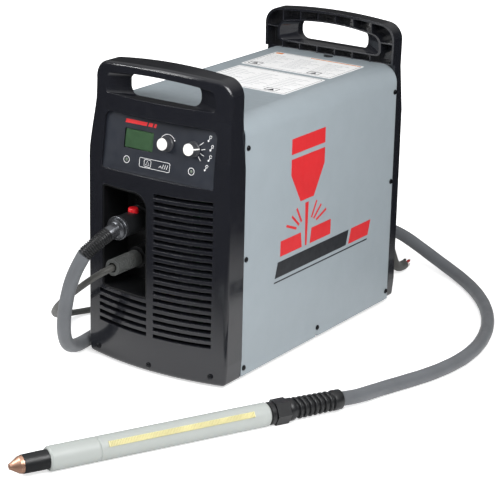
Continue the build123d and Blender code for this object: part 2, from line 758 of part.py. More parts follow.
def torch_body():
    return on_torch(turned([
        (40.1, 0), (40.1, 6), (42.2, 6), (42.2, 9.4), (58.1, 9.4), (58.1, 11.9), (418, 11.9), (418, 0),
    ]))


def front_sleeve():
    return on_torch(turned([
        (58.2, 12), (58.2, 16.6), (61, TORCH_RADIUS), (133.8, TORCH_RADIUS), (135.6, 17.7), (135.6, 12),
    ]))


def torch_sleeve():
    sleeve = turned([
        (135.7, 12), (135.7, 17.7), (137.4, TORCH_RADIUS), (415, TORCH_RADIUS), (417.9, 16), (417.9, 12),
    ])
    return on_torch(sleeve - rack_slot())


def rack_side(shape):
    """Turn a shape from the torch's +Y side to the side where the rack sits."""
    return Rot(180 - RACK_TILT, 0, 0) * shape


def rack_slot():
    length = RACK_SPAN[1] - RACK_SPAN[0] + 2 * GAP
    middle = (RACK_SPAN[0] + RACK_SPAN[1]) / 2
    slot = Box(length, RACK_DEPTH + 2 * GAP, RACK_WIDTH + 2 * GAP)
    return rack_side(Pos(middle, RACK_BED + RACK_DEPTH / 2, 0) * slot)


def gear_rack():
    """Toothed bar let into the sleeve."""
    top = RACK_BED + RACK_DEPTH
    points = [(RACK_SPAN[0], RACK_BED), (RACK_SPAN[0], top)]
    for i in range(round((RACK_SPAN[1] - RACK_SPAN[0]) / RACK_PITCH) - 1):
        at = RACK_SPAN[0] + (i + 1) * RACK_PITCH
        points += [(at - 0.9, top), (at - 0.3, top - 1.3), (at + 0.3, top - 1.3), (at + 0.9, top)]
    points += [(RACK_SPAN[1], top), (RACK_SPAN[1], RACK_BED)]
    comb = make_face(Polyline(*points, close=True))
    bar = extrude(Plane.XY * comb, amount=RACK_WIDTH / 2, both=True)
    return on_torch(rack_side(bar))


def torch_coupler():
    body = turned([(418.1, 0), (418.1, 14), (420, 17.6), (426, 17.6), (428, 16), (428, 0)])
    nut = Pos(428, 0, 0) * Rot(0, 90, 0) * extrude(RegularPolygon(20.5, 6, rotation=30), amount=23)
    return on_torch(body + nut)


def torch_lead_boot():
    """Bend relief with ring grooves around the lead."""
    body = turned([
        (451.1, 0), (451.1, 16), (454, 17.6), (460, 17.6), (464, 13.6), (532, 13), (532, 16), (547.8, 15.4),
        (547.8, 0),
    ])
    for i in range(8):
        body += Pos(469 + i * 8.4, 0, 0) * Rot(0, 90, 0) * Torus(14.8 - i * 0.2, 2.4)
    return on_torch(body)


# ---- work plug, lead and clamp ----
def work_plug():
    x, z = WORK_PORT
    body = rod_y(x, z, 10, (-256, -206)) + rod_y(x, z, 13.5, (-300, -240))
    for i in range(8):
        y = -297 + i * 5.6
        body -= rod_y(x, z, 15, (y, y + 1.8)) - rod_y(x, z, 12.4, (y - 1, y + 3))
    body = body - rod_y(x, z, 8, (-302, -292))
    return body - rod_y(x, z, WORK_LEAD_RADIUS + RUNNING, (-302, -262))


WORK_LEAD_FRONT = [
    (-55, -263, 176), (-55, -310, 176), (-68, -321, 167), (-90, -319, 150),
    (-114, -313, 131), (-150, -296, 105), (-188, -274, 76), (-230, -238, 42),
]
WORK_LEAD_FLOOR = [
    (-259, -194, 17), (-263, -150, 7.2), (-243, -105, 5.9), (-227, -60, 5.6), (-222, 20, 5.6),
    (-230, 140, 5.6), (-243, 260, 5.6), (-258, 350, 5.9), (-268, 410, 9), (-264, 444, 15),
]
WORK_LEAD_END = (-96.0, -34.0)  # on the clamp, in the plane of its arms
CLAMP_AT = (-190.0, 545.0)  # pivot, x and y
CLAMP_TURN = 35.0           # plan angle of the clamp's jaws from +X
CLAMP_MIDDLE_Z = 17.0
CLAMP_HALF = 10.0           # half the thickness of its arms
KNUCKLE_RADIUS = 9.0
KNUCKLE_ROOM = 10.0
PIN_RADIUS = 4.0
SPRING_LENGTH = 26.0


def clamp_place(shape):
    return Pos(CLAMP_AT[0], CLAMP_AT[1], CLAMP_MIDDLE_Z) * Rot(0, 0, CLAMP_TURN) * shape


def clamp_arm(side):
    """One arm, jaw to +X and grip to -X, on the +Y or -Y side of the centre line."""
    outline = make_face(Polyline(
        (78, 1), (78, 9), (60, 17), (12, 15), (-20, 26), (-95, 42), (-98, 28), (-24, 13), (-12, 4.5),
        (-6, 0.5), (9, 0.5), (40, 6), (64, 1), close=True,
    ))
    outline = fillet(outline.vertices(), 0.9)
    arm = extrude(outline, amount=CLAMP_HALF, both=True) - Cylinder(KNUCKLE_ROOM, 3 * CLAMP_HALF)
    return arm if side > 0 else mirror(arm, Plane.XZ)


def clamp_ear(z, side):
    """Knuckle disc with a web that reaches its arm."""
    return rod_z(0, 0, KNUCKLE_RADIUS, z) + block(
        (-KNUCKLE_RADIUS, KNUCKLE_RADIUS), sorted((side * 2, side * (KNUCKLE_ROOM + 1))), z
    )


def clamp_lower_jaw():
    """Fixed arm, with an ear on each side of the moving arm's knuckle."""
    arm = clamp_arm(-1) + clamp_ear((5.2, CLAMP_HALF), -1) + clamp_ear((-CLAMP_HALF, -5.2), -1)
    arm -= rod_z(0, 0, PIN_RADIUS, (-20, 20))
    socket = rod_x(WORK_LEAD_END[1], 0, WORK_LEAD_RADIUS + 0.3, (-110, WORK_LEAD_END[0] + 17))
    return clamp_place(arm - socket)


def clamp_upper_jaw():
    """Moving arm, with one knuckle between the fixed arm's ears."""
    arm = clamp_arm(1) + clamp_ear((-5, 5), 1)
    return clamp_place(arm - rod_z(0, 0, PIN_RADIUS + RUNNING, (-20, 20)))


def clamp_pin():
    head = (CLAMP_HALF, CLAMP_HALF + 2)
    pin = rod_z(0, 0, PIN_RADIUS, (-head[1], head[1])) + rod_z(0, 0, 6, head)
    return clamp_place(pin + rod_z(0, 0, 6, (-head[1], -head[0])))


def clamp_spring():
    """Compression spring between the two grips."""
    coil = Helix(pitch=5.2, height=SPRING_LENGTH, radius=6.5)
    wire = sweep(Plane(origin=coil @ 0, z_dir=coil % 0) * Circle(0.9), path=coil)
    return clamp_place(Pos(-40, SPRING_LENGTH / 2, 0) * Rot(90, 0, 0) * wire)


def work_lead():
    """Lead from the socket, round the left side, into the end of the clamp's fixed grip."""
    entry = [clamp_place(Vertex(WORK_LEAD_END[0] + dx, WORK_LEAD_END[1], 0)).center() for dx in (-1, 16)]
    points = WORK_LEAD_FRONT + WORK_LEAD_FLOOR + [tuple(p) for p in entry]
    return tube(points, WORK_LEAD_RADIUS)


NODES = [
    front_panel, rear_panel, cover, base_pan, feet, panel_screws, top_labels, control_panel,
    display_window, display_module, indicator_lenses, control_board, mode_knob, mode_knob_cap,
    connector_bay, torch_receptacle, work_socket, center_panel, heatsink, power_board, capacitors,
    transformer_core, transformer_winding, output_inductor, fan_frame, fan_rotor, gas_valve,
    filter_regulator, gas_hose, power_switch_body, power_switch_knob, cord_gland, power_cord,
    air_inlet, port_cover, torch_plug, torch_release_button, torch_plug_ring, torch_plug_boot,
    torch_lead, shield, nozzle, electrode, retaining_cap, torch_body, front_sleeve, torch_sleeve,
    gear_rack, torch_coupler, torch_lead_boot, work_plug, clamp_lower_jaw, clamp_upper_jaw,
    clamp_pin, clamp_spring, work_lead,
]

os.makedirs("parts", exist_ok=True)
for make in NODES:
    save(make.__name__, make())
save("amps_knob", knob(AMPS_AT))
save("amps_knob_cap", knob_cap(AMPS_AT))
save("amps_encoder", panel_control(AMPS_AT, (20, 20)))
save("mode_switch", panel_control(MODE_AT, (24, 22)))
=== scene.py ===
import json
import math

import bmesh
import bpy
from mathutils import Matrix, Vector


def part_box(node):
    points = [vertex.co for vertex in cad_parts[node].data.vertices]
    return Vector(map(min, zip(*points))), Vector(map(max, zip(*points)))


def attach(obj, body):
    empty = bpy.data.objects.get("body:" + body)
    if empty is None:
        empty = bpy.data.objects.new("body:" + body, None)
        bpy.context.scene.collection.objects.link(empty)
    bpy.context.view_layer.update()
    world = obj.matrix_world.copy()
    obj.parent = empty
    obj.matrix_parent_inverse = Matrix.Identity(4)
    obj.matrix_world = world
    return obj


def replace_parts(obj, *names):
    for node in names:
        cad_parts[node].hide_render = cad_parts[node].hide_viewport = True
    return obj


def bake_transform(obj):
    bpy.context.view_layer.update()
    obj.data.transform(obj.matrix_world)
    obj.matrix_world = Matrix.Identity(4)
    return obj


# The plasma cutter unit's looks, built round its CAD frame. Sizes are in millimetres counted from
# the floor under the middle of the cabinet, as in the CAD, and at() turns them into the row frame.

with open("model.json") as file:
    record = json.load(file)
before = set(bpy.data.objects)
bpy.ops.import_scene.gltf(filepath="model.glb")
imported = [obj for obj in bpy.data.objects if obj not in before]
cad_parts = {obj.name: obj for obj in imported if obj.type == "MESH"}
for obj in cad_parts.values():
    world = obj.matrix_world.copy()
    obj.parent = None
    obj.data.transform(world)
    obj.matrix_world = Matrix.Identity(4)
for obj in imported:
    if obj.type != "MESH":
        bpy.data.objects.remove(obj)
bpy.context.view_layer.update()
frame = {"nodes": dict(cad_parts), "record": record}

MM = 0.001
FRONT_SEAM_Y = -212.9       # where the cover's front edge lies, from the cabinet's middle
SIDE_X = 136.0              # outside of the cover's side
LABEL_TOP = 431.9
CLIP_UNDER = 431.6          # underside of the clip on the cover's top
REAR_FACE_Y = 268.0
FASCIA_TILT = math.radians(8.7)
FASCIA_SHEET = 3.0
LEAD_RADIUS = 11.5
WORK_LEAD_RADIUS = 5.5
CORD_RADIUS = 9.0
BEND_SHARE = 0.45           # of a cable run that each of its bends takes up
CABLE_STEP = 3.0            # between the points of a cable's path
CABLE_PASSES = 60           # of smoothing over those points
JACKET_EASE = 0.1           # that a cable's jacket is thinner than its CAD solid
LAY_PITCH, LAY_DEPTH = 46, 0.08    # of the twist that shows through a jacket
PRINT = 0.12                # thickness of printed marks

cover_low, cover_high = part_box("cover")
CABINET = Vector(((cover_low.x + cover_high.x) / 2, cover_low.y - FRONT_SEAM_Y * MM, 0))
panel_low, panel_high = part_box("control_panel")
FASCIA_OUT = Vector((0, -math.cos(FASCIA_TILT), math.sin(FASCIA_TILT)))
FASCIA_UP = Vector((0, math.sin(FASCIA_TILT), math.cos(FASCIA_TILT)))
FASCIA_MIDDLE = (panel_low + panel_high) / 2 + FASCIA_OUT * FASCIA_SHEET / 2 * MM

TORCH_TIP = Vector((77, -703.5, 18.6))
TORCH_WAY = Vector((math.cos(math.radians(63.47)), math.sin(math.radians(63.47)), 0))
CLAMP_AT = Vector((-190, 545, 17))
CLAMP_TURN = math.radians(35)


# ---- places ----
def at(x, y, z):
    """Point in the row frame from millimetres counted from the cabinet's middle."""
    return CABINET + Vector((x, y, z)) * MM


def on_fascia(x, y, out):
    """Point over the control fascia, from its centre."""
    return FASCIA_MIDDLE + (Vector((x, 0, 0)) + FASCIA_UP * y + FASCIA_OUT * out) * MM


def on_side(y, z, out):
    """Point over the cover's right side."""
    return at(SIDE_X + out, y, z)


def on_top(x, y, out):
    """Point over the top labels."""
    return at(x, y, LABEL_TOP + out)


def on_rear(x, z, out):
    """Point behind the rear panel."""
    return at(x, REAR_FACE_Y + out, z)


def clamp_point(x, y, z=0.0):
    """Point in the work clamp's own axes, its pivot at the origin, in cabinet millimetres."""
    c, s = math.cos(CLAMP_TURN), math.sin(CLAMP_TURN)
    return CLAMP_AT + Vector((c * x - s * y, s * x + c * y, z))


def on_clamp(x, y, z):
    """Point in the work clamp's own axes."""
    return at(*clamp_point(x, y, z))


def torch_point(along, up=0.0):
    """Point along the torch's axis from its tip, in cabinet millimetres."""
    return TORCH_TIP + TORCH_WAY * along + Vector((0, 0, up))


# ---- materials ----
BROAD_SIZE, GLOSS_SIZE, EDGE_HIGHLIGHT_SIZE = 38, 14, 6    # of the patches of colour, of gloss, and of the painted edge highlight


def linear(code):
    """Linear colour from a six-digit screen colour."""
    parts = [int(code[i:i + 2], 16) / 255 for i in (0, 2, 4)]
    return [p / 12.92 if p <= 0.04045 else ((p + 0.055) / 1.055) ** 2.4 for p in parts] + [1]


def shade(colour, factor):
    """Lighter or darker version of a linear colour."""
    return [min(1, c * factor) for c in colour[:3]] + [1]


class Graph:
    """Shader nodes under construction in one node tree."""

    def __init__(self, tree):
        self.tree = tree

    def fill(self, node, inputs):
        """Give inputs, by name or number, plain values or the outputs of other nodes."""
        for key, value in inputs.items():
            if isinstance(value, bpy.types.NodeSocket):
                self.tree.links.new(value, node.inputs[key])
            else:
                node.inputs[key].default_value = value

    def node(self, kind, inputs=None, **settings):
        """Add a node of a kind with its settings and inputs."""
        node = self.tree.nodes.new(kind)
        for key, value in settings.items():
            setattr(node, key, value)
        self.fill(node, inputs or {})
        return node

    def spread(self, factor, low, high, start=0.3, end=0.7):
        """Map a factor between start and end onto values from low to high."""
        return self.node("ShaderNodeMapRange", {
            "Value": factor, "From Min": start, "From Max": end, "To Min": low, "To Max": high,
        }).outputs["Result"]

    def product(self, first, second):
        """One factor times the other."""
        return self.node("ShaderNodeMath", {0: first, 1: second}, operation="MULTIPLY").outputs[0]


class Recipe(Graph):
    """A node material under construction."""

    def __init__(self, name):
        self.material = bpy.data.materials.new(name)
        self.material.use_nodes = True
        super().__init__(self.material.node_tree)
        self.shader = self.tree.nodes["Principled BSDF"]
        self.place = self.node("ShaderNodeTexCoord").outputs["Object"]

    def noise(self, size, stretch=(1, 1, 1), detail=4.0):
        """Noise with features of a size in millimetres."""
        mapping = self.node("ShaderNodeMapping", {"Vector": self.place, "Scale": stretch})
        return self.node("ShaderNodeTexNoise", {
            "Vector": mapping.outputs["Vector"], "Scale": 1 / (size * MM), "Detail": detail,
        }).outputs["Fac"]

    def mix(self, factor, first, second):
        """Blend of two colours."""
        return self.node("ShaderNodeMix", {0: factor, 6: first, 7: second}, data_type="RGBA").outputs[2]

    def edges(self, radius):
        """Rounded normal, and a mask that is 1 along edges."""
        rounded = self.node("ShaderNodeBevel", {"Radius": radius * MM}, samples=4).outputs["Normal"]
        flat = self.node("ShaderNodeNewGeometry").outputs["Normal"]
        dot = self.node("ShaderNodeVectorMath", {0: rounded, 1: flat}, operation="DOT_PRODUCT")
        return rounded, self.spread(dot.outputs["Value"], 1, 0, 0.86, 0.995)

    def blend_surface(self, factor, first, second):
        """Make the surface a blend of two nodes' shaders."""
        blend = self.node("ShaderNodeMixShader", {0: factor, 1: first.outputs[0], 2: second.outputs[0]})
        self.fill(self.tree.nodes["Material Output"], {"Surface": blend.outputs[0]})


def finish(name, colour, rough, metal=0.0, grain=0.8, depth=0.02, stretch=(1, 1, 1), mottle=0.08,
           edge=0.0, edge_highlight=1.6, coat=0.0, sheen=0.0, specular=0.5):
    """Opaque surface with grain, mottled colour, uneven gloss, and a painted highlight that lightens its
    edges in patches.
    """
    recipe = Recipe(name)
    base = linear(colour)
    broad = recipe.noise(BROAD_SIZE, detail=5)
    fine = recipe.noise(grain, stretch)
    tint = recipe.mix(recipe.spread(broad, 0, 1), shade(base, 1 - mottle), shade(base, 1 + mottle))
    tint = recipe.mix(recipe.spread(fine, 0, 0.35), tint, shade(base, 1 - 2 * mottle))
    bump = recipe.node("ShaderNodeBump", {"Height": fine, "Strength": 0.6, "Distance": depth * MM})
    if edge:
        normal, mask = recipe.edges(edge)
        recipe.fill(bump, {"Normal": normal})
        # Painted highlight: the edges are lightened in patches towards a brighter copy of the colour,
        # standing in for light caught by the edges.
        edge_highlight_mask = recipe.product(mask, recipe.spread(recipe.noise(EDGE_HIGHLIGHT_SIZE), 0.15, 0.8))
        tint = recipe.mix(edge_highlight_mask, tint, shade(base, edge_highlight))
    gloss = recipe.spread(recipe.noise(GLOSS_SIZE), max(0.02, rough - 0.07), min(1, rough + 0.07))
    recipe.fill(recipe.shader, {
        "Base Color": tint, "Normal": bump.outputs["Normal"], "Roughness": gloss, "Metallic": metal,
        "Coat Weight": coat, "Sheen Weight": sheen, "Specular IOR Level": specular,
    })
    return recipe.material


def clear_window(name):
    """Thin clear sheet: mostly see-through, with a faint reflection."""
    recipe = Recipe(name)
    through = recipe.node("ShaderNodeBsdfTransparent", {"Color": linear("DDE6DC")})
    gloss = recipe.node("ShaderNodeBsdfGlossy", {"Roughness": 0.08})
    smear = recipe.spread(recipe.noise(9), 0.03, 0.09)
    recipe.blend_surface(smear, through, gloss)
    return recipe.material


# Rubber jackets have a fine grain and a dusty sheen.
JACKET = dict(grain=0.7, depth=0.06, mottle=0.1, sheen=0.15, specular=0.4)
# Where a look has edge, its edges carry a painted highlight, a lighter copy of its colour, by the last
# factor given.
LOOKS = {
    "bezel_black": dict(colour="1B1C21", rough=0.17, grain=0.5, depth=0.004, mottle=0.04, edge=1.4,
                        edge_highlight=2.6, coat=0.35),
    "fascia_navy": dict(colour="242831", rough=0.45, grain=0.3, depth=0.006, edge=0.4, edge_highlight=2.0),
    "cover_grey": dict(colour="9CA6AC", rough=0.36, grain=0.55, depth=0.03, mottle=0.025, edge=0.7,
                       edge_highlight=1.25),
    "pan_steel": dict(colour="45484B", rough=0.5, grain=1.0, edge=0.5),
    "foot_rubber": dict(colour="1A1A1B", rough=0.8, grain=0.7, depth=0.05, edge=0.6),
    "screw_black": dict(colour="1E1F22", rough=0.2, metal=0.7, grain=0.4, depth=0.01, edge=0.25,
                        edge_highlight=5.0),
    "label_white": dict(colour="FFFFFF", rough=0.45, grain=2.0, depth=0.004, mottle=0.02),
    "display_green": dict(colour="728977", rough=0.4, grain=0.45, depth=0.004, mottle=0.05),
    "lens": dict(colour="6E786C", rough=0.2, grain=0.6, depth=0.01, coat=0.5),
    "board_green": dict(colour="1F5B36", rough=0.35, grain=1.4, depth=0.03),
    "knob_dark": dict(colour="404145", rough=0.4, grain=0.4, depth=0.01, edge=0.3, edge_highlight=2.0),
    "cap_white": dict(colour="F4F3EF", rough=0.4, grain=0.5, depth=0.006, mottle=0.02, edge=0.3,
                      edge_highlight=1.0),
    "zinc": dict(colour="B4B7BA", rough=0.34, metal=0.9, grain=1.2, edge=0.4, edge_highlight=1.3),
    "bay_black": dict(colour="121315", rough=0.4, grain=0.7, edge=0.6, edge_highlight=2.6),
    "ring_dark": dict(colour="66686C", rough=0.24, metal=0.8, grain=0.5, depth=0.01, edge=0.5),
    "aluminium": dict(colour="BFC2C4", rough=0.38, metal=0.9, grain=0.4, stretch=(1, 0.05, 1),
                      edge=0.4, edge_highlight=1.2),
    "can_blue": dict(colour="24345F", rough=0.35, depth=0.01),
    "iron": dict(colour="575450", rough=0.6, metal=0.5, grain=0.5, depth=0.05, stretch=(0.05, 1, 1)),
    "copper_wire": dict(colour="B06A3C", rough=0.32, metal=0.8, grain=1.3, depth=0.15,
                        stretch=(0.1, 1, 1)),
    "brass": dict(colour="C9A354", rough=0.3, metal=0.95, grain=0.5, depth=0.015, edge=0.3, edge_highlight=1.3),
    "hose_blue": dict(colour="315A9C", rough=0.45, **JACKET),
    "switch_red": dict(colour="B82420", rough=0.36, grain=0.4, depth=0.01, edge=0.6),
    "button_red": dict(colour="E8212A", rough=0.25, grain=0.4, depth=0.01, edge=0.4, edge_highlight=1.3,
                       coat=0.3),
    "boot_black": dict(colour="1C1D1F", rough=0.38, grain=0.5, depth=0.03, edge=0.5, edge_highlight=3.5),
    "lead_grey": dict(colour="66696D", rough=0.42, **JACKET),
    "cable_dark": dict(colour="454542", rough=0.48, **JACKET),
    "plug_grey": dict(colour="525453", rough=0.36, grain=0.6, depth=0.03, edge=0.5),
    "copper": dict(colour="F2BFA4", rough=0.3, metal=0.85, grain=0.35, mottle=0.14, edge=0.4,
                   edge_highlight=1.3),
    "sleeve_grey": dict(colour="B2B7B4", rough=0.4, grain=0.5, depth=0.01, mottle=0.02, edge=0.5,
                        edge_highlight=1.1),
    "rack_cream": dict(colour="DDD6A4", rough=0.36, metal=0.1, grain=0.4, edge=0.2, edge_highlight=1.2),
    "spring_steel": dict(colour="A5A7A9", rough=0.3, metal=0.95, grain=0.4),
}
SLOTS = {name: finish(name, **look) for name, look in LOOKS.items()}
SLOTS["display_clear"] = clear_window("display_clear")
PRINT_WHITE = finish("print_white", "E8E9EA", 0.5, grain=0.4, depth=0.004, mottle=0.03)
PRINT_RED = finish("print_red", "D9252B", 0.42, grain=0.5, depth=0.006, mottle=0.04)
PRINT_DARK = finish("print_dark", "222429", 0.45, grain=0.5, depth=0.006, mottle=0.05)
PRINT_GREY = finish("print_grey", "9A9DA0", 0.5, grain=0.5, depth=0.004, mottle=0.05)
PRINT_ORANGE = finish("print_orange", "E88A3A", 0.45, grain=0.5, depth=0.004, mottle=0.04)
VINYL_RED = finish("vinyl_red", "B5231F", 0.4, grain=0.9, depth=0.05, edge=0.8, edge_highlight=1.4, coat=0.2)
CORE_GREEN = finish("core_green", "3C7B3A", 0.45, grain=0.6, depth=0.01)


def paint_frame():
    """Give every CAD node the finish of its material slot."""
    for row in frame["record"]["subparts"]:
        node = frame["nodes"][row["node"]]
        material = SLOTS[row["material_slot"]]
        if node.data.materials:
            for i in range(len(node.data.materials)):
                node.data.materials[i] = material
        else:
            node.data.materials.append(material)


# ---- mesh helpers ----
def make_piece(name, bm, material, body, smooth=None):
    """Turn a bmesh into a piece on a body; edges sharper than smooth degrees stay sharp.

    When body is not one body's name, such as two bodies and then where a bend starts and ends, it is not
    used, and the piece rides on no body.
    """
    bmesh.ops.recalc_face_normals(bm, faces=bm.faces)
    mesh = bpy.data.meshes.new(name)
    bm.to_mesh(mesh)
    bm.free()
    mesh.materials.append(material)
    piece = bpy.data.objects.new(name, mesh)
    bpy.context.scene.collection.objects.link(piece)
    if smooth:
        mesh.shade_smooth()
        mesh.set_sharp_from_angle(angle=math.radians(smooth))
    if isinstance(body, str):
        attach(piece, body)
    else:
        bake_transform(piece)
    return piece


def add_prism(bm, outline, place, height=PRINT, low=0.0):
    """Closed plate over an outline; place(u, v, out) gives its points."""
    bottom = [bm.verts.new(place(u, v, low)) for u, v in outline]
    top = [bm.verts.new(place(u, v, low + height)) for u, v in outline]
    bm.faces.new(top)
    bm.faces.new(bottom[::-1])
    for i in range(len(outline)):
        j = (i + 1) % len(outline)
        bm.faces.new((bottom[i], bottom[j], top[j], top[i]))


def add_ribbon(bm, points, width, place, closed=False, height=PRINT):
    """Solid strip of one width along points; a closed one returns to its start."""
    count = len(points)
    rows = []
    for i, (u, v) in enumerate(points):
        before = points[i - 1] if closed or i else points[0]
        after = points[(i + 1) % count] if closed or i < count - 1 else points[-1]
        du, dv = after[0] - before[0], after[1] - before[1]
        length = math.hypot(du, dv)
        nu, nv = -dv / length * width / 2, du / length * width / 2
        corners = ((u - nu, v - nv, 0), (u + nu, v + nv, 0), (u + nu, v + nv, height),
                   (u - nu, v - nv, height))
        rows.append([bm.verts.new(place(*c)) for c in corners])
    for i in range(count if closed else count - 1):
        here, there = rows[i], rows[(i + 1) % count]
        for k in range(4):
            m = (k + 1) % 4
            bm.faces.new((here[k], here[m], there[m], there[k]))
    if not closed:
        bm.faces.new(rows[0])
        bm.faces.new(rows[-1][::-1])


def arc(centre, radius, start, end, steps=24):
    """Points along an arc, its angles in degrees."""
    angles = [math.radians(start + (end - start) * i / steps) for i in range(steps + 1)]
    return [(centre[0] + radius * math.cos(a), centre[1] + radius * math.sin(a)) for a in angles]


def rounded_box(u, v, radius):
    """Outline of a box between pairs of u and v, with round corners."""
    corners = ((u[1], v[1], 0), (u[0], v[1], 90), (u[0], v[0], 180), (u[1], v[0], 270))
    points = []
    for x, y, start in corners:
        centre = (x + (radius if x == u[0] else -radius), y + (radius if y == v[0] else -radius))
        points += arc(centre, radius, start, start + 90, 5)
    return points


def add_tube(bm, path, radius, sides):
    """Closed round tube along a path, carried without twist. radius is a number or radius(i)."""
    side = Vector((0, 0, 1)).cross(path[1] - path[0])
    rings = []
    for i, point in enumerate(path):
        way = (path[min(i + 1, len(path) - 1)] - path[max(i - 1, 0)]).normalized()
        side = (side - way * side.dot(way)).normalized()
        up = way.cross(side)
        reach = (radius(i) if callable(radius) else radius) * MM
        rings.append([
            bm.verts.new(point + (side * math.cos(a) + up * math.sin(a)) * reach)
            for a in (2 * math.pi * k / sides for k in range(sides))
        ])
    for here, there in zip(rings, rings[1:]):
        for k in range(sides):
            m = (k + 1) % sides
            bm.faces.new((here[k], here[m], there[m], there[k]))
    bm.faces.new(rings[0][::-1])
    bm.faces.new(rings[-1])


def bezier(points, steps):
    """Cubic curve through the first and last of four points."""
    p = [Vector(q) for q in points]
    curve = []
    for i in range(steps + 1):
        t = i / steps
        s = 1 - t
        curve.append(p[0] * s**3 + p[1] * 3 * s * s * t + p[2] * 3 * s * t * t + p[3] * t**3)
    return curve


def cable_run(points):
    """Even points along straight runs with rounded corners, as the CAD's cables run, eased smooth."""
    points = [Vector(p) for p in points]
    line = [points[0]]
    for before, corner, after in zip(points, points[1:], points[2:]):
        reach = BEND_SHARE * min((corner - before).length, (after - corner).length)
        start = corner + (before - corner).normalized() * reach
        end = corner + (after - corner).normalized() * reach
        line += bezier((start, start.lerp(corner, 0.6), end.lerp(corner, 0.6), end), 12)
    line.append(points[-1])
    even = [line[0]]
    for a, b in zip(line, line[1:]):
        while (b - even[-1]).length > CABLE_STEP and (b - a).length > 1e-6:
            even.append(even[-1] + (b - even[-1]).normalized() * CABLE_STEP)
    even.append(line[-1])
    for _ in range(CABLE_PASSES):
        middle = [(a + c) * 0.25 + b * 0.5 for a, b, c in zip(even, even[1:], even[2:])]
        even = [even[0], even[1]] + middle[1:-1] + [even[-2], even[-1]]
    return [at(*p) for p in even]


def add_coil(bm, path, coil_radius, wire_radius, turns, per_turn=28, sides=8):
    """Wire wound round a path. coil_radius is a number or coil_radius(share of the path)."""
    steps = turns * per_turn
    side = Vector((0, 0, 1)).cross(path[1] - path[0]).normalized()
    wire = []
    for i in range(steps + 1):
        spot = i / steps * (len(path) - 1)
        k = min(int(spot), len(path) - 2)
        centre = path[k].lerp(path[k + 1], spot - k)
        way = (path[k + 1] - path[k]).normalized()
        side = (side - way * side.dot(way)).normalized()
        angle = 2 * math.pi * i / per_turn
        reach = coil_radius(i / steps) if callable(coil_radius) else coil_radius
        wire.append(centre + (side * math.cos(angle) + way.cross(side) * math.sin(angle)) * reach * MM)
    add_tube(bm, wire, wire_radius, sides)


def add_rounded_block(bm, outline, place, low, high, bevel):
    """Plate between two heights with all its edges rounded."""
    add_prism(bm, outline, place, high - low, low)
    bmesh.ops.bevel(bm, geom=list(bm.edges), offset=bevel * MM, segments=3, profile=0.6, affect="EDGES")


# ---- cables and boots ----
BOOT_CURVE = ((-52, -292, 240), (-52.5, -313, 238), (-64, -333, 221), (-76, -343, 206))
COLLAR_RADII = (15.8, 16.6, 16.8, 16.4, 13.2) + (11.7,) * 14    # at the boot's first points
# distance from the torch's tip, and radius there
RELIEF_STATIONS = ((451.1, 16.2), (453, 17.8), (460, 17.8), (462, 16.6), (464, 13.2), (500, 12.8),
                   (530, 12.4), (532, 15.8), (534, 16.2), (546, 15.8), (547.8, 14.4))
TORCH_LEAD_RUN = [
    (-76, -343, 206), (-92, -347, 178), (-107, -345, 144), (-119, -341, 106), (-129, -334, 66),
    (-139, -316, 29), (-146, -286, 14.4), (-153, -250, 12.2), (-160, -200, 11.8), (-171, -80, 11.6),
    (-180, 60, 11.6), (-188, 200, 11.6), (-192, 300, 12), (-176, 368, 18), (-118, 430, 40),
    (-40, 456, 60), (31, 455, 62), (80, 450, 44), (130, 447, 22), (178, 428, 12.4), (236, 382, 11.6),
    (293, 320, 11.6), (345, 238, 11.6), (378, 145, 11.6), (388, 60, 11.6), (377, -22, 11.6),
    (357, -84, 11.6), (341, -135, 12.2),
]
WORK_LEAD_RUN = [
    (-55, -263, 176), (-55, -310, 176), (-68, -321, 167), (-90, -319, 150), (-114, -313, 131),
    (-150, -296, 105), (-188, -274, 76), (-230, -238, 42), (-259, -194, 17), (-263, -150, 7.2),
    (-243, -105, 5.9), (-227, -60, 5.6), (-222, 20, 5.6), (-230, 140, 5.6), (-243, 260, 5.6),
    (-258, 350, 5.9), (-268, 410, 9), (-264, 444, 15),
]
CORD_RUN = [(78, 252, 104), (78, 282, 104), (78, 308, 103), (79, 340, 84), (78, 360, 48), (75, 380, 16),
            (72, 404, 9.3), (69, 424, 9.2)]


def lay(path, radius):
    """Jacket radius that swells gently with the twist of the cores inside."""
    step = (path[1] - path[0]).length / MM
    return lambda i: radius - JACKET_EASE + LAY_DEPTH * math.sin(2 * math.pi * i * step / LAY_PITCH)


def make_cables():
    """Torch lead, work lead and power cord in place of their CAD solids."""
    runs = (
        ("torch_lead_jacket", TORCH_LEAD_RUN + [torch_point(574, -2.4), torch_point(548)], LEAD_RADIUS,
         "torch_set", "torch_lead", "lead_grey"),
        ("work_lead_jacket",
         WORK_LEAD_RUN + [clamp_point(-97, -34), clamp_point(-80, -34)], WORK_LEAD_RADIUS,
         "cabinet", "work_lead", "cable_dark"),
        ("power_cord_jacket", CORD_RUN, CORD_RADIUS, "cabinet", "power_cord", "cable_dark"),
    )
    for name, run, radius, body, node, slot in runs:
        bm = bmesh.new()
        path = cable_run(run)
        add_tube(bm, path, lay(path, radius), 28)
        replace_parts(make_piece(name, bm, SLOTS[slot], body, smooth=50), node)


def make_plug_boot():
    """Wound spring boot behind the torch plug, with a plain collar before it."""
    path = [at(*p) for p in bezier(BOOT_CURVE, 60)]
    bm = bmesh.new()
    add_tube(bm, path[:len(COLLAR_RADII)], lambda i: COLLAR_RADII[i], 36)
    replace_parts(make_piece("plug_boot_core", bm, SLOTS["ring_dark"], "torch_set", 40),
                "torch_plug_boot")
    bm = bmesh.new()
    add_tube(bm, path, 10.2, 28)
    add_coil(bm, path[len(COLLAR_RADII) - 1:], 10.9, 1.25, 14)
    make_piece("plug_boot_spring", bm, SLOTS["boot_black"], "torch_set", 60)


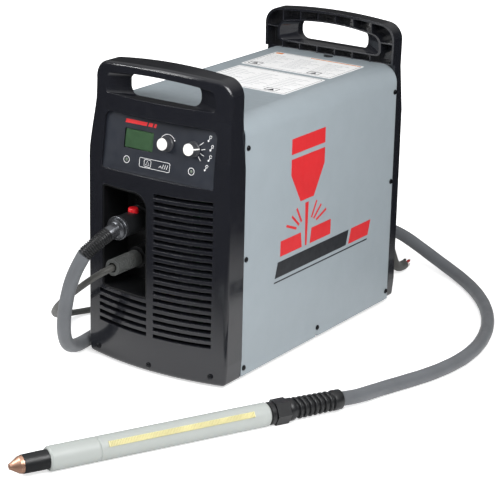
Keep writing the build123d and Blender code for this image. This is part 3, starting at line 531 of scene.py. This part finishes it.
def make_bend_relief():
    """Moulded bend relief behind the torch's nut, with a spiral rib."""
    path = [at(*torch_point(along)) for along, _ in RELIEF_STATIONS]
    bm = bmesh.new()
    add_tube(bm, path, lambda i: RELIEF_STATIONS[i][1], 32)
    turns = [at(*torch_point(466 + 64 * i / 40)) for i in range(41)]
    add_coil(bm, turns, lambda t: 15.0 - 1.2 * t, 2.5, 7, per_turn=24, sides=10)
    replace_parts(make_piece("bend_relief", bm, SLOTS["boot_black"], "torch_set", 40),
                "torch_lead_boot")


def make_cord_end():
    """Four cores that stand out of the power cord's cut end."""
    way = (Vector(CORD_RUN[-1]) - Vector(CORD_RUN[-2])).normalized()
    side = Vector((0, 0, 1)).cross(way).normalized()
    up = way.cross(side)
    copper = bmesh.new()
    for i, material in enumerate((PRINT_DARK, VINYL_RED, SLOTS["cap_white"], CORE_GREEN)):
        angle = math.radians(45 + 90 * i)
        outward = side * math.cos(angle) + up * math.sin(angle)
        start = Vector(CORD_RUN[-1]) + outward * 4.3 - way * 3
        end = start + way * 17 + outward * 1.5
        path = [at(*p) for p in bezier((start, start + way * 6, end - way * 6, end), 10)]
        bm = bmesh.new()
        add_tube(bm, path, 2.7, 16)
        make_piece(f"cord_core_{i + 1}", bm, material, "cabinet", 40)
        for k in range(7):
            turn = 2 * math.pi * k / 6
            reach = 0.0 if k == 6 else 1.05
            shift = (side * math.cos(turn) + up * math.sin(turn)) * reach
            strand = [at(*(end + shift - way)), at(*(end + shift + way * 5))]
            add_tube(copper, strand, 0.55, 8)
    make_piece("cord_strands", copper, SLOTS["copper"], "cabinet", 40)


def make_clamp_grips():
    """Dipped vinyl sleeves on the two grips of the work clamp."""
    outline = [(-45, 15.9), (-99.5, 26.6), (-96.5, 43.6), (-45, 33.0)]
    for name, sign, body in (("grip_moving", 1, "clamp_jaw"), ("grip_fixed", -1, "cabinet")):
        bm = bmesh.new()
        add_rounded_block(bm, [(x, sign * y) for x, y in outline], on_clamp, -11.4, 11.4, 3.0)
        make_piece(name, bm, VINYL_RED, body, 50)


def make_clamp_spring():
    """Coil between the clamp's grips."""
    ends = [on_clamp(-40, y, 0) for y in (-12.9, 12.9)]
    bm = bmesh.new()
    add_coil(bm, ends, 6.5, 0.9, 5)
    coil = make_piece("clamp_coil", bm, SLOTS["spring_steel"], ("cabinet", "clamp_jaw", *ends),
                      60)
    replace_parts(coil, "clamp_spring")


# ---- printing ----
AMPS_KNOB = (14, 11)        # on the fascia, from its centre, as the next six
MODE_TICKS = (((73.8, 18.3), (81.0, 24.2)), ((77.8, 12.2), (85.1, 14.4)),
              ((76.8, 6.4), (84.2, 3.6)), ((73.3, 1.4), (78.6, -5.0)))
MODE_SIGNS = ((91.4, 32.0), (96.6, 18.2), (95.2, 2.0), (90.0, -13.8))
LAMPS = ((-61.5, -26.5), (63.5, -24.0))
SIGN_BOXES = (((-36.2, 22.4), (-33.4, -18.8)), ((-27.0, -14.0), (-31.6, -20.6)))
BADGE_BLOCKS = ((-70.5, -29.0), (-26.0, -18.0), (-15.0, -11.0))
BADGE_HEIGHTS = (31.4, 37.4)
NOZZLE_Y = -31.5            # middle of the side's pictogram
NOZZLE_HALF = 50
PLATE_HEIGHTS = (182, 208)
STRIPE_HEIGHTS = (148, 174)
SPARKS = ((44, 30), (60, 18), (30, 40))
LABELS = ((-82, 92, 96, 202), (-75, 92, -43, 77))    # left, right, front and rear of each top label
REAR_PLATE_OUT = 0.8        # thickness of the rating plate


def make_fascia_print():
    """White marks round the knobs and lamps, and a plain red badge."""
    bm = bmesh.new()
    add_ribbon(bm, arc(AMPS_KNOB, 14.6, 152, 38), 0.9, on_fascia)
    add_prism(bm, arc((AMPS_KNOB[0] + 12.8, AMPS_KNOB[1] + 7.0), 1.2, 0, 330, 11), on_fascia)
    for start, end in MODE_TICKS:
        add_ribbon(bm, [start, end], 0.9, on_fascia)
    for x, y in MODE_SIGNS:
        add_ribbon(bm, arc((x + 1.4, y + 2.4), 2.1, 0, 330, 12), 0.8, on_fascia)
        add_ribbon(bm, [(x + 0.4, y + 0.4), (x - 1.6, y - 3.2)], 0.9, on_fascia)
        add_prism(bm, [(x - 3.6, y - 2.6), (x + 0.4, y - 3.6), (x - 2.4, y - 5.8)], on_fascia)
    for lamp in LAMPS:
        add_ribbon(bm, arc(lamp, 5.5, 0, 345, 23), 0.9, on_fascia, closed=True)
    for box in SIGN_BOXES:
        add_ribbon(bm, rounded_box(*box, 2.4), 0.7, on_fascia, closed=True)
    add_ribbon(bm, [(-24.2, -28.8), (-20.6, -22.8), (-17.0, -28.8)], 0.8, on_fascia, closed=True)
    add_ribbon(bm, [(2.0, -28.6), (4.6, -25.6), (6.8, -28.6)], 0.8, on_fascia)
    for x in (9.6, 13.6, 17.6):
        add_ribbon(bm, [(x - 1.4, -29.8), (x + 1.0, -22.6)], 0.8, on_fascia)
    make_piece("fascia_marks", bm, PRINT_WHITE, "cabinet")
    low, high = BADGE_HEIGHTS
    bm = bmesh.new()
    for left, right in BADGE_BLOCKS:
        add_prism(bm, [(left, low), (right, low), (right + 1.6, high), (left + 1.6, high)], on_fascia)
    make_piece("fascia_badge", bm, PRINT_RED, "cabinet")


def side_block(bm, heights, bottom, top):
    """Four-cornered mark on the side, between two depths at its bottom and two at its top."""
    low, high = heights
    add_prism(bm, [(bottom[0], low), (bottom[1], low), (top[1], high), (top[0], high)], on_side)


def make_side_graphic():
    """Red cutting pictogram, a nozzle over a parted plate, above a slanting stripe."""
    red, dark = bmesh.new(), bmesh.new()
    left, right = NOZZLE_Y - NOZZLE_HALF, NOZZLE_Y + NOZZLE_HALF
    side_block(red, (346, 372), (left, right), (left, right))
    add_prism(red, [(left, 338), (left, 312), (NOZZLE_Y - 20, 262), (NOZZLE_Y + 20, 262), (right, 312),
                    (right, 338)], on_side)
    add_prism(red, [(NOZZLE_Y - 5, 256), (NOZZLE_Y - 2.5, PLATE_HEIGHTS[0]),
                    (NOZZLE_Y + 2.5, PLATE_HEIGHTS[0]), (NOZZLE_Y + 5, 256)], on_side)
    for sign in (-1, 1):
        outer = NOZZLE_Y + sign * 76
        side_block(red, PLATE_HEIGHTS, (NOZZLE_Y + sign * 12, outer), (NOZZLE_Y + sign * 16, outer))
        for reach, rise in SPARKS:
            start = (NOZZLE_Y + sign * reach * 0.5, 212 + rise * 0.35)
            add_ribbon(red, [start, (NOZZLE_Y + sign * reach, 212 + rise)], 4.2, on_side)
    side_block(red, STRIPE_HEIGHTS, (104, 168), (112, 176))
    side_block(dark, STRIPE_HEIGHTS, (-122, 96), (-114, 104))
    add_ribbon(dark, [(-124, 141), (166, 141)], 2.4, on_side)
    make_piece("side_graphic_red", red, PRINT_RED, "cabinet")
    make_piece("side_graphic_dark", dark, PRINT_DARK, "cabinet")


def make_label_marks():
    """Plain header strips, rules and picture boxes on the two top labels."""
    orange, grey, dark = bmesh.new(), bmesh.new(), bmesh.new()
    add_prism(orange, rounded_box((-10, 91), (198, 201), 1.0), on_top)
    add_prism(orange, rounded_box((-80, -66), (193, 201), 1.0), on_top)
    for x0, x1, y0, y1 in LABELS:
        outline = rounded_box((x0 + 0.8, x1 - 0.8), (y0 + 0.8, y1 - 0.8), 4)
        add_ribbon(dark, outline, 0.7, on_top, closed=True)
        column_width = (x1 - x0 - 4) / 3
        for column in range(3):
            left = x0 + 4 + column * column_width
            for row in range(9):
                share = 0.55 + 0.45 * ((row * 7 + column * 5) % 4) / 3
                y = y1 - 22 - row * (y1 - y0 - 34) / 9
                add_ribbon(grey, [(left, y), (left + (column_width - 6) * share, y)], 0.9, on_top)
        for left in (x0 + 6, x0 + 124):
            box = rounded_box((left, left + 22), (y0 + 6, y0 + 22), 2)
            add_ribbon(dark, box, 1.1, on_top, closed=True, height=2 * PRINT)
            triangle = [(left + 5, y0 + 9), (left + 17, y0 + 9), (left + 11, y0 + 19)]
            add_prism(dark, triangle, on_top, 2 * PRINT)
    make_piece("label_headers", orange, PRINT_ORANGE, "cabinet")
    make_piece("label_rules", grey, PRINT_GREY, "cabinet")
    make_piece("label_boxes", dark, PRINT_DARK, "cabinet")


def on_rear_plate(x, z, out):
    """Point over the rating plate."""
    return on_rear(x, z, REAR_PLATE_OUT + out)


def make_rear_plate():
    """Plain rating plate and switch marks on the rear panel."""
    bm = bmesh.new()
    add_rounded_block(bm, rounded_box((-34, 44), (140, 186), 3), on_rear, 0, REAR_PLATE_OUT, 0.25)
    make_piece("rear_plate", bm, SLOTS["label_white"], "cabinet", 40)
    bm = bmesh.new()
    for row in range(7):
        z = 178 - row * 5.4
        add_ribbon(bm, [(-28, z), (38 - 9 * (row * 3 % 4), z)], 1.3, on_rear_plate)
    make_piece("rear_plate_rules", bm, PRINT_GREY, "cabinet")
    bm = bmesh.new()
    add_ribbon(bm, [(72, 404), (72, 412)], 1.6, on_rear)
    add_ribbon(bm, arc((112, 372), 4.2, 0, 345, 23), 1.4, on_rear, closed=True)
    make_piece("rear_switch_marks", bm, PRINT_WHITE, "cabinet")


def make_top_clip():
    """Small black clip where the cover's top meets the rear panel."""
    bm = bmesh.new()
    half_round = [(14, 233)] + arc((5, 233), 9, 180, 360, 16)[:-1]
    add_rounded_block(bm, half_round, lambda x, y, out: at(x, y, CLIP_UNDER + out), 0, 2.6, 0.7)
    make_piece("top_clip", bm, SLOTS["boot_black"], "cabinet", 40)


# ---- stage ----
# Each ramp has a low and a high value, and where it starts and ends: metres from the middle of the
# floor for the paper, and the height of a direction for the sky.
PAPER_GLOW = (0.6, 1.1, 0.6, 1.6)
PAPER_LIGHT = 0.12          # glow of the paper that lights the object
PAPER_EDGE = (0, 1, 0.34, 0.72)
SKY_LIGHT = (0.34, 0.54, -0.1, 0.9)
SKY_MIRRORED = (0.04, 0.8, 0.25, 0.95)
SKY_SEEN = 1.1
LIGHTS = (                  # name, place, width in metres, power, and height of a strip
    ("key", (-1300, -1900, 2300), 1.2, 19, None),
    ("fill", (1450, -900, 1450), 1.0, 15, None),
    ("near", (700, -700, 900), 0.5, 3.8, None),
    ("edge_strip", (-1150, -1500, 1150), 1.7, 15, 0.09),
    ("rim_strip", (1500, -300, 1300), 0.12, 3, 1.4),
)
LIGHTS_AIM = (0, 0, 220)
CAMERA_AIM = (0.3, 7.0, 149.2)
CAMERA_TURN, CAMERA_RISE, CAMERA_ROLL = (math.radians(a) for a in (33.81, 18.44, 1.32))
CAMERA_REACH = 3.27         # metres from its aim
CAMERA_LENS, CAMERA_SENSOR = 138.7, 36


def sweep():
    """White paper: it glows more towards the horizon, and reflects as a dark room past its edge."""
    recipe = Recipe("floor_pale")
    rays = recipe.node("ShaderNodeLightPath").outputs
    reach = recipe.node("ShaderNodeVectorMath", {0: recipe.place}, operation="LENGTH").outputs["Value"]
    tint = recipe.mix(recipe.spread(recipe.noise(3), 0, 1), linear("F2F2F2"), linear("F5F5F5"))
    seen = recipe.product(rays["Is Camera Ray"], recipe.spread(reach, *PAPER_GLOW))
    glow = recipe.node("ShaderNodeMath", {0: seen, 1: PAPER_LIGHT}, operation="MAXIMUM").outputs[0]
    recipe.fill(recipe.shader, {
        "Base Color": tint, "Roughness": 0.85, "Specular IOR Level": 0.1,
        "Emission Color": (1, 1, 1, 1), "Emission Strength": glow,
    })
    room = recipe.node("ShaderNodeBsdfDiffuse", {"Color": linear("262628")})
    past_edge = recipe.product(rays["Is Glossy Ray"], recipe.spread(reach, *PAPER_EDGE))
    recipe.blend_surface(past_edge, recipe.shader, room)
    return recipe.material


def make_floor():
    """Wide paper floor, which isn't part of the object."""
    bm = bmesh.new()
    bmesh.ops.create_grid(bm, x_segments=2, y_segments=2, size=9)
    mesh = bpy.data.meshes.new("floor")
    bm.to_mesh(mesh)
    bm.free()
    mesh.materials.append(sweep())
    floor = bpy.data.objects.new("floor", mesh)
    bpy.context.scene.collection.objects.link(floor)


def make_world():
    """White backdrop, soft light from above, and a dark horizon in reflections."""
    world = bpy.data.worlds.new("studio")
    bpy.context.scene.world = world
    world.use_nodes = True
    graph = Graph(world.node_tree)
    rays = graph.node("ShaderNodeLightPath").outputs
    way = graph.node("ShaderNodeTexCoord").outputs["Generated"]
    height = graph.node("ShaderNodeSeparateXYZ", {0: way}).outputs["Z"]
    lit, mirrored = (graph.spread(height, *ramp) for ramp in (SKY_LIGHT, SKY_MIRRORED))
    unseen = graph.node("ShaderNodeMix", {0: rays["Is Glossy Ray"], 2: lit, 3: mirrored})
    strength = graph.node("ShaderNodeMix", {0: rays["Is Camera Ray"], 2: unseen.outputs[0], 3: SKY_SEEN})
    background = world.node_tree.nodes["Background"]
    graph.fill(background, {"Color": (1, 1, 1, 1), "Strength": strength.outputs[0]})


def make_light(name, place, size, power, height):
    """Soft light aimed at the cabinet: a strip with a height, or square without."""
    light = bpy.data.lights.new(name, "AREA")
    light.energy = power
    light.size = size
    if height:
        light.shape = "RECTANGLE"
        light.size_y = height
    lamp = bpy.data.objects.new(name, light)
    lamp.location = at(*place)
    lamp.rotation_mode = "QUATERNION"
    lamp.rotation_quaternion = (at(*LIGHTS_AIM) - at(*place)).to_track_quat("-Z", "Y")
    bpy.context.scene.collection.objects.link(lamp)


def make_camera():
    """Long lens from the front right, slightly above."""
    back = Vector((math.sin(CAMERA_TURN) * math.cos(CAMERA_RISE),
                   -math.cos(CAMERA_TURN) * math.cos(CAMERA_RISE), math.sin(CAMERA_RISE)))
    level = Vector((math.cos(CAMERA_TURN), math.sin(CAMERA_TURN), 0))
    right = level * math.cos(CAMERA_ROLL) + back.cross(level) * math.sin(CAMERA_ROLL)
    up = back.cross(right)
    lens = bpy.data.cameras.new("camera")
    lens.sensor_width = CAMERA_SENSOR
    lens.lens = CAMERA_LENS
    lens.clip_start = 0.1
    lens.clip_end = 60
    camera = bpy.data.objects.new("camera", lens)
    matrix = camera.matrix_world.copy()
    for column, axis in enumerate((right, up, back)):
        for row in range(3):
            matrix[row][column] = axis[row]
    matrix.translation = at(*CAMERA_AIM) + back * CAMERA_REACH
    camera.matrix_world = matrix
    bpy.context.scene.collection.objects.link(camera)
    bpy.context.scene.camera = camera


# ---- build ----
paint_frame()
make_cables()
make_plug_boot()
make_bend_relief()
make_cord_end()
make_clamp_grips()
make_clamp_spring()
make_fascia_print()
make_side_graphic()
make_label_marks()
make_rear_plate()
make_top_clip()
make_floor()
make_world()
for light in LIGHTS:
    make_light(*light)
make_camera()
bpy.context.scene.view_settings.view_transform = "Standard"
